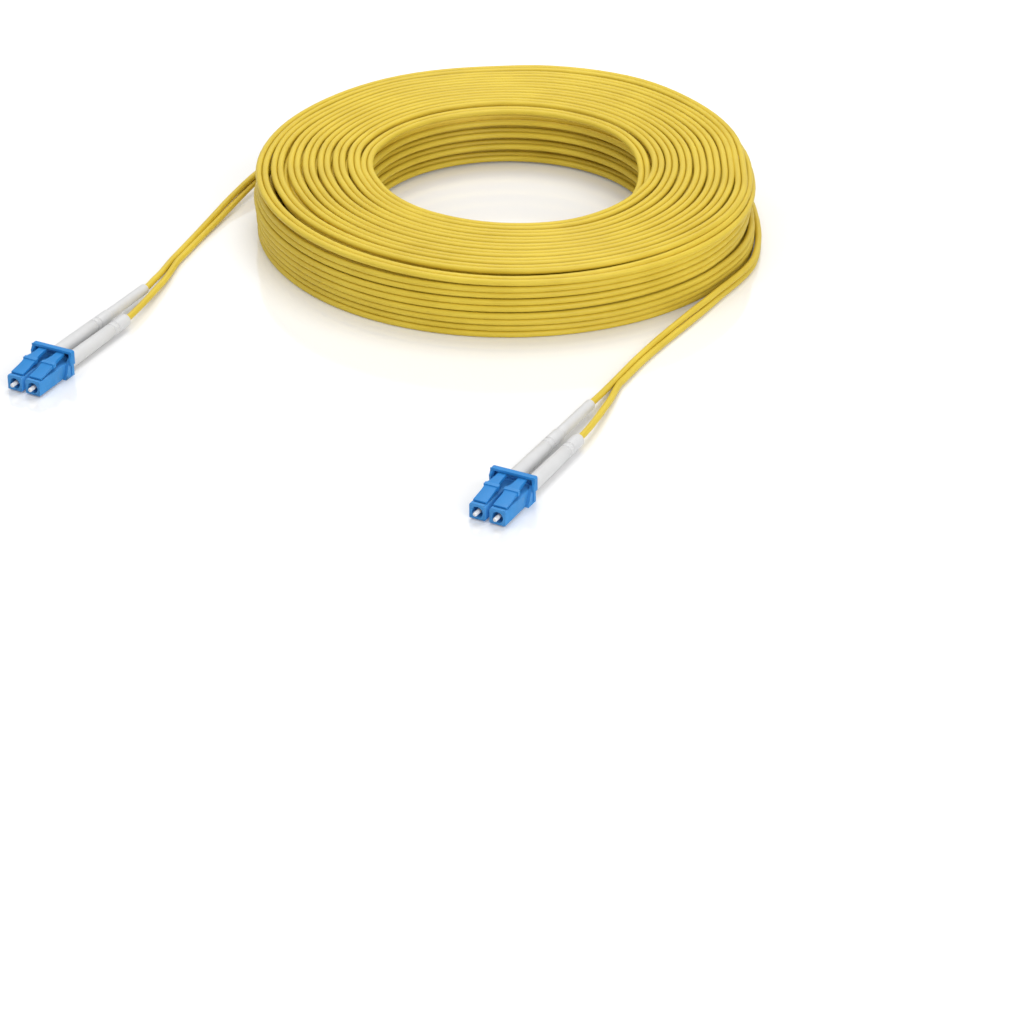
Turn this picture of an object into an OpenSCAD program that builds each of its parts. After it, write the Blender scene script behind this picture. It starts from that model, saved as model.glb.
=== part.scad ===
// Duplex fibre optic patch cord: a coiled zip cord with a latched two-fibre plug on each end.
// +Z is up. The coil and both plugs lie on z = 0, and the middle of the coil is the origin.

/* [Cord] */
// Outer diameter of one round strand
strand_d = 2; // [1.8:0.1:2.2]
// Width of the thin web that joins the two strands
web_w = 0.1; // [0.05:0.05:0.3]
// Thickness of the web
web_t = 0.8; // [0.4:0.1:1.2]

/* [Coil] */
// Outer diameter of the coil
coil_od = 160.5; // [150:0.5:180]
// Diameter of the open middle of the coil
coil_id = 88.5; // [80:0.5:96]
// Turns that stand on edge, one above another, in each wall
wall_turns = 4; // [3:1:6]
// Smallest gap between neighbouring turns
turn_gap = 0.44; // [0.42:0.01:0.6]
// Clearance between the outer turns and the wound core
core_gap = 0.3; // [0.2:0.05:0.5]
// How far the first turn stands out where the cord enters the coil
entry_flare = 3; // [0:0.5:5]
// Rings in one turn of the cord
rings_per_turn = 24; // [16:4:32]

/* [Plug housing] */
// Centre distance of the two fibres of one connector
fibre_pitch = 6.25; // [6:0.05:7]
// Width of one plug housing
plug_w = 4.5; // [4.3:0.05:4.8]
// Height of one plug housing
plug_h = 4.4; // [4.2:0.05:4.7]
// Length of one plug housing
plug_len = 16.2; // [15:0.1:18]
// Chamfer along the long edges of the housing
plug_chamfer = 0.25; // [0.1:0.05:0.4]
// Diameter of the round recess in the nose
recess_d = 3.3; // [3:0.05:3.5]
// Depth of the recess
recess_depth = 2.6; // [2:0.1:3.2]
// Thickness of the wall that the ferrule holder seats on
seat_wall = 0.7; // [0.5:0.05:1]
// Height of the brow in front of the latch
brow_h = 0.35; // [0.2:0.05:0.6]
// Length of the brow
brow_len = 1.1; // [0.8:0.05:1.2]

/* [Ferrule] */
// Diameter of the ferrule
ferrule_d = 1.25; // [1.2:0.01:1.3]
// Length of the ferrule
ferrule_len = 6.5; // [6.4:0.1:7]
// Reach of the ferrule's tip beyond the nose
ferrule_out = 1.6; // [1:0.1:2]
// Chamfer at the ferrule's tip
ferrule_chamfer = 0.2; // [0.1:0.05:0.3]
// Inward travel of the ferrule against its spring
float_travel = 1; // [0.5:0.1:1.2]
// Diameter of the ferrule holder's collar
collar_d = 2.7; // [2.5:0.05:2.8]
// Length of the collar
collar_len = 2.3; // [2:0.1:2.6]
// Diameter of the ferrule holder's stem
stem_d = 1.6; // [1.5:0.05:1.7]
// Diameter of the buffered fibre
buffer_d = 0.9; // [0.8:0.05:0.9]
// Length of the relaxed space for the spring
spring_len = 4.6; // [4:0.1:5]
// Outer diameter of the spring
spring_d = 2.6; // [2.4:0.05:2.7]
// Wire diameter of the spring
spring_wire = 0.35; // [0.25:0.05:0.35]

/* [Rear body and boot] */
// Diameter of the rear body's nose inside the housing
rear_nose_d = 3.8; // [3.6:0.05:3.9]
// Width and height of the rear body's flange
rear_flange = 4.2; // [4:0.05:4.4]
// Thickness of the flange
rear_flange_t = 0.6; // [0.5:0.05:1]
// Diameter of the crimp barrel
barrel_d = 3.1; // [2.8:0.05:3.2]
// Length of the crimp barrel
barrel_len = 6.2; // [5:0.1:7]
// Wall thickness of the crimp sleeve
sleeve_wall = 0.3; // [0.2:0.05:0.35]
// Length of the crimp sleeve's narrow neck
neck_len = 3; // [2:0.1:4]
// Outer diameter of the boot at its front
boot_d = 4.6; // [4.4:0.05:4.8]
// Outer diameter of the boot at its rear end
boot_end_d = 3.9; // [3.6:0.05:4.2]
// Length of the boot
boot_len = 32.5; // [28:0.5:36]
// Distance from the boot's rear end to the first groove
groove_back = 8.2; // [7:0.1:10]
// Distance between the two grooves
groove_step = 2.2; // [1.5:0.1:3]
// Width of each groove
groove_w = 0.45; // [0.3:0.05:0.6]
// Depth of each groove
groove_depth = 0.2; // [0.1:0.05:0.3]
// Outer diameter of the white marker sleeve on the second leg
marker_d = 3.4; // [3:0.05:3.6]
// Length of the marker sleeve
marker_len = 20.3; // [15:0.1:25]
// Loss of diameter along the marker sleeve
marker_taper = 0.2; // [0:0.05:0.4]

/* [Latch] */
// Distance of the latch's root from the nose
root_u = 2.1; // [1.9:0.05:2.4]
// Diameter of the latch's round root
root_d = 0.8; // [0.7:0.05:0.9]
// Height of the latch's root above the housing
root_rise = 0.3; // [0.25:0.01:0.35]
// Width of the latch's front part
latch_w = 3.9; // [3.5:0.05:4.2]
// Width of the latch's tail
tail_w = 2.5; // [2.2:0.05:3]
// Distance from the nose to the locking shoulder
shoulder_u = 8; // [7:0.1:8.5]
// Length of the shoulder tab
shoulder_len = 1.4; // [1:0.1:2]
// Height of the step at the shoulder
shoulder_step = 0.5; // [0.3:0.05:0.6]
// Distance from the nose to the end of the tail
tail_u = 15.2; // [14.5:0.1:15.4]
// Height of the tail's top above the housing
tail_rise = 2.55; // [2.3:0.05:2.7]
// Thickness of the tail
tail_t = 0.85; // [0.7:0.05:0.9]

/* [Clip] */
// Thickness of the clip's floor, which the housings rest on
clip_floor = 0.5; // [0.4:0.05:0.7]
// Distance from the nose to the clip's front
clip_u = 12.6; // [12:0.1:13]
// Distance from the clip's front to the boot
clip_reach = 4.5; // [4.2:0.1:4.8]
// Thickness of the clip's side walls
clip_wall = 0.8; // [0.7:0.05:1]
// Height of the side walls above the housing
clip_rise = 1; // [0.6:0.05:1.1]
// Length of the strap over the rear of the housings
strap_len = 1.1; // [0.8:0.05:1.2]
// Thickness of the strap
strap_t = 0.6; // [0.4:0.05:0.7]
// Distance from the nose to the press bar's front edge
bar_u = 13.4; // [13:0.1:13.8]
// Length of the press bar along the plug
bar_len = 3.2; // [2.8:0.1:3.4]
// Thickness of the press bar
bar_t = 0.8; // [0.6:0.05:1]
// Gap between the latch tails and the press bar
bar_gap = 0.15; // [0.1:0.05:0.2]
// Downward travel of the press bar
bar_travel = 1.4; // [1:0.1:1.4]
// Thickness of the press bar's ears
ear_t = 1; // [0.8:0.05:1.2]
// Height of the ears below the bar
ear_h = 3.5; // [3:0.1:4]
// Length of the ears along the plug
ear_len = 2.4; // [2:0.1:2.6]
// Width of the guide rib inside each ear
rib_w = 0.8; // [0.6:0.05:1]
// Depth of the guide rib
rib_t = 0.3; // [0.2:0.05:0.35]

/* [Fits] */
// Gap around pieces that slide or turn
slide_gap = 0.05; // [0.03:0.01:0.08]
// Gap around pieces that are pressed or glued together
seat_gap = 0.02; // [0.01:0.01:0.04]

/* [Places] */
// Middle of the first connector's nose, from the coil's middle, along X
a_x = -5.7; // [-7:0.1:-4]
// Middle of the first connector's nose along Y
a_y = -190.6; // [-192:0.1:-189]
// Middle of the second connector's nose along X
b_x = -141.8; // [-143:0.1:-140]
// Middle of the second connector's nose along Y
b_y = -116; // [-117:0.1:-115]
// Direction of both connectors, from nose to boot, turned from +X towards +Y
plug_turn = 62.5; // [61:0.5:64]

/* [Hidden] */
ENDS = ["a", "b"];
SIDES = [1, 2];
PIECES = ["housing", "latch", "ferrule", "ferrule_holder", "spring", "fibre", "rear_body",
          "crimp_sleeve", "boot", "leg"];
$fn = 48;
eps = 0.01;
over = 1;

blue = "#3f8fd8";
white = "#ececec";
yellow = "#dcc14a";
steel = "#b9bcc0";
ceramic = "#f2f3f5";

// Zip cord section, seen along the cord: two strands and the waist of the web between them
strand_r = strand_d / 2;
strand_c = strand_r + web_w / 2;
zip_w = 2 * strand_d + web_w;
STRAND_TURN = [-100, -50, 0, 50, 100];
ZIP_SECTION = concat(
    [[0, -web_t / 2]],
    [for (a = STRAND_TURN) [strand_c + strand_r * cos(a), strand_r * sin(a)]],
    [[0, web_t / 2]],
    [for (a = STRAND_TURN) [-strand_c - strand_r * cos(a), -strand_r * sin(a)]]
);
LEG_SIDES = 8;
LEG_SECTION = [for (i = [0 : LEG_SIDES - 1])
    strand_r * [cos(i * 360 / LEG_SIDES), sin(i * 360 / LEG_SIDES)]];

// Coil: the outer layer climbs the outer wall, crosses the top and goes down the inner wall
coil_ro = coil_od / 2;
coil_ri = coil_id / 2;
turn_pitch = zip_w + turn_gap;
wall_top = wall_turns * turn_pitch - turn_gap;
top_z = wall_top + turn_gap + strand_r;
top_ro = coil_ro - zip_w / 2;
top_ri = coil_ri + zip_w / 2;
climb_turns = wall_turns - 1;
corner_turns = 0.2;
top_turns = floor((top_ro - top_ri) / turn_pitch);
top_pitch = (top_ro - top_ri) / top_turns;
t_top = climb_turns + corner_turns;
t_drop = t_top + top_turns;
t_inner = t_drop + corner_turns;
t_end = t_inner + climb_turns;
entry_turn = -30;
flare_turns = 0.3;
on_edge = 90;
corner_cut = 2.4;
corner_drop = 3.8;
rest_cut = 0.2;

// Plug, along its own axis u from the nose to the boot; v is across and z is up
fibre_z = clip_floor + plug_h / 2;
plug_top = clip_floor + plug_h;
ferrule_r = ferrule_d / 2;
ferrule_relief = 0.16;
collar_u = recess_depth + seat_wall;
ferrule_end = ferrule_len - ferrule_out;
spring_u = collar_u + collar_len;
rear_u = spring_u + spring_len;
// Rooms inside the plug: before the rear body's nose, and beyond the ends of stems and barrels
nose_room = 0.6;
end_room = 0.4;
stem_in = 0.6;
stem_end = rear_u + stem_in;
chamber_end = rear_u - nose_room;
float_room = float_travel + end_room;
flange_u = plug_len;
barrel_u = flange_u + rear_flange_t;
barrel_end = barrel_u + barrel_len;
sleeve_u = barrel_u + end_room;
sleeve_step = barrel_end + end_room;
sleeve_end = sleeve_step + neck_len;
sleeve_r = barrel_d / 2 + seat_gap + sleeve_wall;
neck_r = strand_r + slide_gap + sleeve_wall;
leg_u = sleeve_step + end_room;
fibre_end = leg_u - float_travel - end_room / 2;
boot_u = clip_u + clip_reach;
boot_end = boot_u + boot_len;
marker_end = boot_end + marker_len;

// Latch and press bar
root_z = plug_top + root_rise;
tail_top = plug_top + tail_rise;
root_front = 0.6;
root_back = 0.7;
latch_lift = 0.15;
latch_nose = 0.55;
tail_climb = 0.15;
latch_front = root_u - root_front;
clip_len = clip_reach - seat_gap;
clip_in = fibre_pitch / 2 + plug_w / 2 + slide_gap;
clip_out = clip_in + clip_wall;
bar_z = tail_top + bar_gap;
ear_in = clip_out + slide_gap;
bar_half = ear_in + ear_t;
ear_u = bar_u + bar_len - ear_len;
rib_u = ear_u + ear_len / 2;

// Free stretches of the cord. Points from the coil to the split, and from the split to the boots
A_CORD = [[68, -48.5, 2.15], [63.6, -57, 2.1], [55.5, -70, 1.8], [46.5, -84, 1.3],
          [39.5, -96, 1.1], [33, -109, 1.2]];
A_TWIST = [90, 80, 40, 10, 0, 0];
B_CORD = [[-45, 63, 5.6], [-56, 58.5, 5.6], [-66.5, 50.5, 5.6], [-75, 38.5, 5.4],
          [-82.5, 25, 4.4], [-89, 12, 3], [-94.5, -1, 1.8], [-99.5, -14, 1.2], [-104, -27, 1.2]];
B_TWIST = [90, 90, 90, 88, 75, 50, 20, 5, 0];
// The legs' free points in the plug's own axes: along, across and up
LEG_FREE = [
    [[[56, -2.95, 2.7], [63, -2.2, 2.5], [70, -1.1, 2.1], [77, 0.1, 1.6]],
     [[76, 3.3, 2.4]]],
    [[[56, -2.6, 2.7], [64, -1.3, 2.5], [72, 0.4, 2.1], [80, 2.2, 1.6]],
     [[76, 4.1, 2.4], [82, 5.3, 1.9]]]
];

function unit(v) = v / norm(v);
function ease(x) = let (c = min(1, max(0, x))) c * c * (3 - 2 * c);
function mix(a, b, x) = a + (b - a) * x;
function end_place(e) = e == "a" ? [a_x, a_y] : [b_x, b_y];
function side_v(s) = s == 1 ? -fibre_pitch / 2 : fibre_pitch / 2;
function to_world(e, p) = [
    end_place(e)[0] + p[0] * cos(plug_turn) - p[1] * sin(plug_turn),
    end_place(e)[1] + p[0] * sin(plug_turn) + p[1] * cos(plug_turn),
    p[2]
];

// Coil path: radius, height and twist of the cord after t turns
function coil_r(t) =
    t < t_top ? mix(coil_ro - strand_r, top_ro, ease((t - climb_turns) / corner_turns))
        + entry_flare * (1 - ease(t / flare_turns))
    : t < t_drop ? top_ro - top_pitch * (t - t_top)
    : mix(top_ri, coil_ri + strand_r, ease((t - t_drop) / corner_turns));
function coil_z(t) =
    t < climb_turns ? zip_w / 2 + turn_pitch * t
    : t < t_top ? mix(wall_top - zip_w / 2, top_z, ease((t - climb_turns) / corner_turns))
    : t < t_drop ? top_z
    : t < t_inner ? mix(top_z, wall_top - zip_w / 2, ease((t - t_drop) / corner_turns))
    : zip_w / 2 + turn_pitch * (t_end - t);
function coil_twist(t) =
    t < t_drop ? on_edge * (1 - ease((t - climb_turns) / corner_turns))
    : -on_edge * ease((t - t_drop) / corner_turns);
function coil_point(t) = let (a = entry_turn + 360 * t)
    [coil_r(t) * cos(a), coil_r(t) * sin(a), coil_z(t)];
COIL_RINGS = round(t_end * rings_per_turn);
COIL_T = [for (i = [0 : COIL_RINGS]) t_end * i / COIL_RINGS];
COIL_PATH = [for (t = COIL_T) coil_point(t)];
COIL_START = COIL_PATH[0] - unit(COIL_PATH[1] - COIL_PATH[0]) * zip_w;
COIL_STOP = COIL_PATH[COIL_RINGS] + unit(COIL_PATH[COIL_RINGS] - COIL_PATH[COIL_RINGS - 1]) * zip_w;
COIL_LINE = concat([COIL_START], COIL_PATH, [COIL_STOP]);
COIL_TWIST = concat([coil_twist(0)], [for (t = COIL_T) coil_twist(t)], [coil_twist(t_end)]);

// Rings of a swept cord: each ring is square to the path and turned by its twist
function run(path, i) = unit(path[min(i + 1, len(path) - 1)] - path[max(i - 1, 0)]);
function across(path, i) = unit(cross(run(path, i), [0, 0, 1]));
function turned(path, i, twist, q) = let (
    s = across(path, i), n = cross(s, run(path, i)),
    x = q[0] * cos(twist) - q[1] * sin(twist), y = q[0] * sin(twist) + q[1] * cos(twist)
) path[i] + s * x + n * y;

module sweep(path, twist, section) {
    n = len(section);
    last = len(path) - 1;
    points = [for (i = [0 : last]) for (q = section) turned(path, i, twist[i], q)];
    walls = [for (i = [0 : last - 1]) for (j = [0 : n - 1]) let (
        a = i * n + j, b = i * n + (j + 1) % n, c = a + n, d = b + n) each [[a, c, b], [b, c, d]]];
    caps = [for (j = [1 : n - 2]) each [[0, j, j + 1], [last * n, last * n + j + 1, last * n + j]]];
    polyhedron(points, concat(walls, caps));
}

// The least distance between the strands of rings that lie more than half a turn apart
function strand_middles(i) = [for (k = [-1, 1])
    turned(COIL_LINE, i, COIL_TWIST[i], [k * strand_c, 0])];
function least_gap() = let (
    n = len(COIL_LINE), half = floor(rings_per_turn / 2),
    middles = [for (i = [0 : n - 1]) strand_middles(i)]
) min([for (i = [0 : n - 1]) for (j = [i + half : n - 1]) for (p = middles[i]) for (q = middles[j])
    norm(p - q)]) - strand_d;

module coil_core() {
    // The turns are straight between their rings, so they come nearer to the axis there
    outer = (coil_ro - strand_r) * cos(180 / rings_per_turn) - strand_r - core_gap;
    inner = coil_ri + strand_d + core_gap;
    top = top_z - strand_r - core_gap;
    color(yellow) rotate_extrude($fn = 96) polygon([
        [inner, 0], [outer, 0], [outer, top - corner_drop], [outer - corner_cut, top],
        [inner + corner_cut, top], [inner, top - corner_drop]]);
}

module coil_turns() {
    echo(str("Least gap between turns: ", least_gap(), " mm"));
    color(yellow) difference() {
        sweep(COIL_LINE, COIL_TWIST, ZIP_SECTION);
        translate([-coil_od, -coil_od, rest_cut - coil_od]) cube([2 * coil_od, 2 * coil_od, coil_od]);
    }
}

// Places a piece of connector e, drawn along u, v and z
module at_end(e) {
    translate([end_place(e)[0], end_place(e)[1], 0]) rotate([0, 0, plug_turn]) children();
}

module at_fibre(e, s) {
    at_end(e) translate([0, side_v(s), fibre_z]) children();
}

// Turned parts: a rod and a tube along u
module rod(u, length, d, d_end = 0) {
    translate([u, 0, 0]) rotate([0, 90, 0]) cylinder(length, d / 2, (d_end > 0 ? d_end : d) / 2);
}

module slab(u, length, v_low, v_high, z_low, z_high) {
    translate([u, v_low, z_low]) cube([length, v_high - v_low, z_high - z_low]);
}

// A section drawn in v and z, drawn out along u
module along_u(u, length) {
    translate([u, 0, 0]) rotate([90, 0, 90]) linear_extrude(length) children();
}

// A section drawn in u and z, drawn out across the plug
module across_v(width) {
    translate([0, width / 2, 0]) rotate([90, 0, 0]) linear_extrude(width) children();
}

module chamfered(w, h, c) {
    polygon([[-w / 2 + c, -h / 2], [w / 2 - c, -h / 2], [w / 2, -h / 2 + c], [w / 2, h / 2 - c],
             [w / 2 - c, h / 2], [-w / 2 + c, h / 2], [-w / 2, h / 2 - c], [-w / 2, -h / 2 + c]]);
}

module housing(e, s) {
    color(blue) at_fibre(e, s) difference() {
        union() {
            along_u(0, plug_len) chamfered(plug_w, plug_h, plug_chamfer);
            slab(0, brow_len, -latch_w / 2, latch_w / 2, 0, plug_h / 2 + brow_h);
        }
        rod(-eps, recess_depth + eps, recess_d);
        rod(0, plug_len, ferrule_d + 3 * slide_gap);
        rod(collar_u, chamber_end - collar_u + eps, collar_d + 2 * slide_gap);
        rod(chamber_end, plug_len, rear_nose_d + 2 * slide_gap);
        translate([root_u, 0, root_z - fibre_z]) rotate([90, 0, 0])
            cylinder(plug_w + over, root_d / 2 + slide_gap, root_d / 2 + slide_gap, center = true);
    }
}

module ferrule(e, s) {
    front = ferrule_out + recess_depth;
    color(ceramic) at_fibre(e, s) {
        rod(-ferrule_out, ferrule_chamfer, ferrule_d - 2 * ferrule_chamfer, ferrule_d);
        rod(ferrule_chamfer - ferrule_out, front - ferrule_chamfer, ferrule_d);
        rod(recess_depth, ferrule_end - recess_depth, ferrule_d - 2 * ferrule_relief);
    }
}

module ferrule_holder(e, s) {
    color(steel) at_fibre(e, s) difference() {
        union() {
            rod(collar_u, collar_len, collar_d);
            rod(spring_u - eps, stem_end - spring_u + eps, stem_d);
        }
        rod(collar_u - eps, ferrule_end - collar_u + 2 * eps, ferrule_d - 2 * ferrule_relief + 2 * seat_gap);
        rod(ferrule_end, stem_end, buffer_d + 2 * seat_gap);
    }
}

module spring(e, s) {
    color(steel) at_fibre(e, s) difference() {
        rod(spring_u + eps, spring_len - 2 * eps, spring_d);
        rod(spring_u, spring_len, spring_d - 2 * spring_wire);
    }
}

module fibre(e, s) {
    color(white) at_fibre(e, s) rod(ferrule_end + seat_gap, fibre_end - ferrule_end - seat_gap, buffer_d);
}

module rear_body(e, s) {
    color(steel) at_fibre(e, s) difference() {
        union() {
            rod(rear_u, flange_u - rear_u + eps, rear_nose_d);
            along_u(flange_u + eps, rear_flange_t) chamfered(rear_flange, rear_flange, 2 * plug_chamfer);
            rod(flange_u + eps, barrel_end - flange_u, barrel_d);
        }
        rod(rear_u - eps, stem_in + float_room, stem_d + 2 * slide_gap);
        rod(rear_u, barrel_end, buffer_d + 4 * slide_gap);
    }
}

module crimp_sleeve(e, s) {
    color(steel) at_fibre(e, s) difference() {
        union() {
            rod(sleeve_u, sleeve_step - sleeve_u, 2 * sleeve_r);
            rod(sleeve_step - eps, neck_len + eps, 2 * neck_r);
        }
        rod(sleeve_u - eps, barrel_end - sleeve_u + seat_gap, barrel_d + 2 * seat_gap);
        rod(sleeve_u, sleeve_end, strand_d + 2 * slide_gap);
    }
}

module boot(e, s) {
    color(white) at_fibre(e, s) difference() {
        rod(boot_u, boot_len, boot_d, boot_end_d);
        rod(boot_u - eps, sleeve_step - boot_u + slide_gap, 2 * (sleeve_r + slide_gap));
        rod(boot_u, sleeve_end - boot_u + slide_gap, 2 * (neck_r + slide_gap));
        rod(boot_u, boot_len + eps, strand_d + 2 * slide_gap);
        for (k = [0, 1]) translate([boot_end - groove_back + k * groove_step, 0, 0])
            groove(mix(boot_d, boot_end_d, (boot_len - groove_back + k * groove_step) / boot_len));
    }
}

// The ring cut away by a groove at a place where the boot is d across
module groove(d) {
    difference() {
        rod(-groove_w / 2, groove_w, d + over);
        rod(-groove_w, 2 * groove_w, d - 2 * groove_depth);
    }
}

module marker_sleeve(e) {
    color(white) at_fibre(e, 2) difference() {
        rod(boot_end, marker_len, marker_d, marker_d - marker_taper);
        rod(boot_end - eps, marker_len + 2 * eps, strand_d + 2 * slide_gap);
    }
}

// Latch: a lever on a round root, with a step at the locking shoulder and a narrow tail
module latch(e, s) {
    front_h = root_rise + latch_nose;
    step_z = tail_top - tail_climb;
    rise = (tail_rise - tail_t - latch_lift) / (tail_u - latch_front);
    function under(u) = plug_top + latch_lift + rise * (u - latch_front);
    step_low = step_z - shoulder_step;
    color(blue) at_end(e) translate([0, side_v(s), 0]) {
        translate([root_u, 0, root_z]) rotate([90, 0, 0]) cylinder(latch_w, root_d / 2, root_d / 2, center = true);
        across_v(latch_w) polygon([
            [latch_front, root_z], [root_u, root_z], [root_u + root_back, under(root_u + root_back)],
            [shoulder_u + eps, under(shoulder_u)], [shoulder_u + eps, step_low],
            [latch_front, plug_top + front_h]]);
        across_v(plug_w) polygon([
            [shoulder_u, under(shoulder_u)], [shoulder_u + shoulder_len, under(shoulder_u + shoulder_len)],
            [shoulder_u + shoulder_len, step_z + seat_gap], [shoulder_u, step_z]]);
        across_v(tail_w) polygon([
            [shoulder_u + eps, under(shoulder_u)], [tail_u, under(tail_u)], [tail_u, tail_top],
            [shoulder_u + eps, step_z]]);
    }
}

// Clip: a cradle that holds the rear of both housings side by side
module clip(e) {
    wall_top_z = plug_top + clip_rise;
    middle = fibre_pitch / 2 - plug_w / 2 - slide_gap;
    strap_u = clip_u + clip_len - strap_len;
    color(blue) at_end(e) {
        slab(clip_u, clip_len, -clip_out, clip_out, 0, clip_floor - seat_gap);
        slab(clip_u, clip_len, -middle, middle, clip_floor - seat_gap - eps, plug_top);
        for (k = [-1, 1]) difference() {
            mirror([0, k < 0 ? 1 : 0, 0]) slab(clip_u, clip_len, clip_in, clip_out, 0, wall_top_z);
            mirror([0, k < 0 ? 1 : 0, 0]) slab(rib_u - rib_w / 2 - slide_gap, rib_w + 2 * slide_gap,
                clip_out - rib_t - slide_gap, clip_out + over, clip_floor, wall_top_z + over);
        }
        slab(strap_u, strap_len, -clip_in - eps, clip_in + eps, plug_top + slide_gap,
            plug_top + slide_gap + strap_t);
    }
}

// Press bar: a bar over both latch tails that slides down on the clip's side walls
module press_bar(e) {
    color(blue) at_end(e) {
        along_u(bar_u, bar_len) polygon([
            [-bar_half, bar_z], [bar_half, bar_z], [bar_half, bar_z + bar_t - plug_chamfer],
            [bar_half - plug_chamfer, bar_z + bar_t], [plug_chamfer - bar_half, bar_z + bar_t],
            [-bar_half, bar_z + bar_t - plug_chamfer]]);
        for (k = [0, 1]) mirror([0, k, 0]) {
            slab(ear_u, ear_len, ear_in, bar_half, bar_z - ear_h, bar_z + eps);
            slab(rib_u - rib_w / 2, rib_w, ear_in - rib_t - slide_gap, ear_in + eps, bar_z - ear_h, bar_z + eps);
        }
    }
}

// Cord from the coil to the split, where its two strands go on as the legs
function cord_line(e) = e == "a" ? concat([COIL_START], A_CORD) : B_CORD;
function cord_twist(e) = e == "a" ? concat([on_edge], A_TWIST) : B_TWIST;

module zip_cord(e) {
    color(yellow) sweep(cord_line(e), cord_twist(e), ZIP_SECTION);
}

// A leg starts straight inside the crimp sleeve and ends straight and square to the zip cord's end
function leg_line(e, s) = let (
    k = e == "a" ? 0 : 1, zip = cord_line(e), last = len(zip) - 1,
    way = -run(zip, last), aside = cross(way, [0, 0, 1]) * (s == 1 ? 1 : -1),
    meet = zip[last] + unit(aside) * strand_c,
    straight = s == 1 ? boot_end + strand_d : marker_end + strand_d
) concat(
    [to_world(e, [leg_u, side_v(s), fibre_z]), to_world(e, [straight, side_v(s), fibre_z])],
    [for (p = LEG_FREE[k][s - 1]) to_world(e, p)],
    [meet - way * strand_d, meet]
);

module leg(e, s) {
    line = leg_line(e, s);
    color(yellow) sweep(line, [for (p = line) 0], LEG_SECTION);
}

module piece(e, s, name) {
    if (name == "housing") housing(e, s);
    if (name == "latch") latch(e, s);
    if (name == "ferrule") ferrule(e, s);
    if (name == "ferrule_holder") ferrule_holder(e, s);
    if (name == "spring") spring(e, s);
    if (name == "fibre") fibre(e, s);
    if (name == "rear_body") rear_body(e, s);
    if (name == "crimp_sleeve") crimp_sleeve(e, s);
    if (name == "boot") boot(e, s);
    if (name == "leg") leg(e, s);
}

coil_core();
coil_turns();
for (e = ENDS) for (s = SIDES) for (p = PIECES)
    piece(e, s, p);
for (e = ENDS) {
    clip(e);
    press_bar(e);
    marker_sleeve(e);
    zip_cord(e);
}
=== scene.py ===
# Duplex fibre optic patch cord: the dressed model, its floor, light and camera.
# Lengths are written in millimetres and turned into metres where a mesh is made.

import math

import bmesh
import bpy
import numpy as np
from mathutils import Matrix, Vector


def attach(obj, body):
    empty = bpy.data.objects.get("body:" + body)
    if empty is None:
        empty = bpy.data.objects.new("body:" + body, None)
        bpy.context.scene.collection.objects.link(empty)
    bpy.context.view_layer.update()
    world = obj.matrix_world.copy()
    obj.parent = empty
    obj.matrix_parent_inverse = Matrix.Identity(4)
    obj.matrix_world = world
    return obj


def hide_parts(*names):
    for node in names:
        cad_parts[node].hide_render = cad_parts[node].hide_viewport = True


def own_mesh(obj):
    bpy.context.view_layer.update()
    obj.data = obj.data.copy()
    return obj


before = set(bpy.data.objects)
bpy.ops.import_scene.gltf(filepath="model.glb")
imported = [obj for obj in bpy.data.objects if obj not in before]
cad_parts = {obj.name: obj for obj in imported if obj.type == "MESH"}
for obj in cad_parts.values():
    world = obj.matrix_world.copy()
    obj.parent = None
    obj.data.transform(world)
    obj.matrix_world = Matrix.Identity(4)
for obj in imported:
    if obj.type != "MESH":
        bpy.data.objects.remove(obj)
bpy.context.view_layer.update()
MM = 0.001

# ---------------------------------------------------------------- camera

CAMERA_RISE = math.radians(30.37)
CAMERA_DISTANCE = 937.26
CAMERA_AIM = Vector((1.08, -184.36, 0.0))
LENS_PER_PIXEL = 3400 / 1024


def make_camera():
    """The camera looks down on the cord from the front."""
    bpy.context.scene.view_settings.view_transform = "Standard"
    data = bpy.data.cameras.new("studio_camera")
    data.sensor_width = 36
    data.lens = 36 * LENS_PER_PIXEL
    data.clip_start = 0.02
    data.clip_end = 40
    camera = bpy.data.objects.new("studio_camera", data)
    bpy.context.scene.collection.objects.link(camera)
    back = Vector((0, -math.cos(CAMERA_RISE), math.sin(CAMERA_RISE))) * CAMERA_DISTANCE
    camera.location = (CAMERA_AIM + back) * MM
    camera.rotation_euler = (math.pi / 2 - CAMERA_RISE, 0, 0)
    bpy.context.scene.camera = camera


# ---------------------------------------------------------------- sizes and places

STRAND_D = 2.0
WEB = 0.1
STRAND_C = (STRAND_D + WEB) / 2
STRAND_SIDES = 16
# How far the web reaches out of a strand, as a share of the web's width
WEB_REACH = 0.7
# Metres of cord to one unit of its map
MAP_LENGTH = 0.0063

FIBRE_PITCH = 6.25
CLIP_FLOOR = 0.5
PLUG_W = 4.5
PLUG_H = 4.4
PLUG_LEN = 16.2
FIBRE_Z = CLIP_FLOOR + PLUG_H / 2
PLUG_TOP = CLIP_FLOOR + PLUG_H
BOOT_U = 17.1
BOOT_END = BOOT_U + 32.5
MARKER_END = BOOT_END + 20.3
# Where the strands begin inside their boots, and a second point of each on the way out
STRAND_FROM, STRAND_ON = 26, 40

PLUG_TURN = math.radians(62.5)
ENDS = {"a": Vector((-5.7, -190.6, 0)), "b": Vector((-141.8, -116.0, 0))}


def side_v(side):
    """How far across its plug a fibre lies."""
    return -FIBRE_PITCH / 2 if side == 1 else FIBRE_PITCH / 2


def to_world(end, u, v, z):
    """A point of a plug, along, across and up, as a point of the whole model."""
    c, s = math.cos(PLUG_TURN), math.sin(PLUG_TURN)
    at = ENDS[end]
    return Vector((at.x + u * c - v * s, at.y + u * s + v * c, z))


# ---------------------------------------------------------------- cord route

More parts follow.
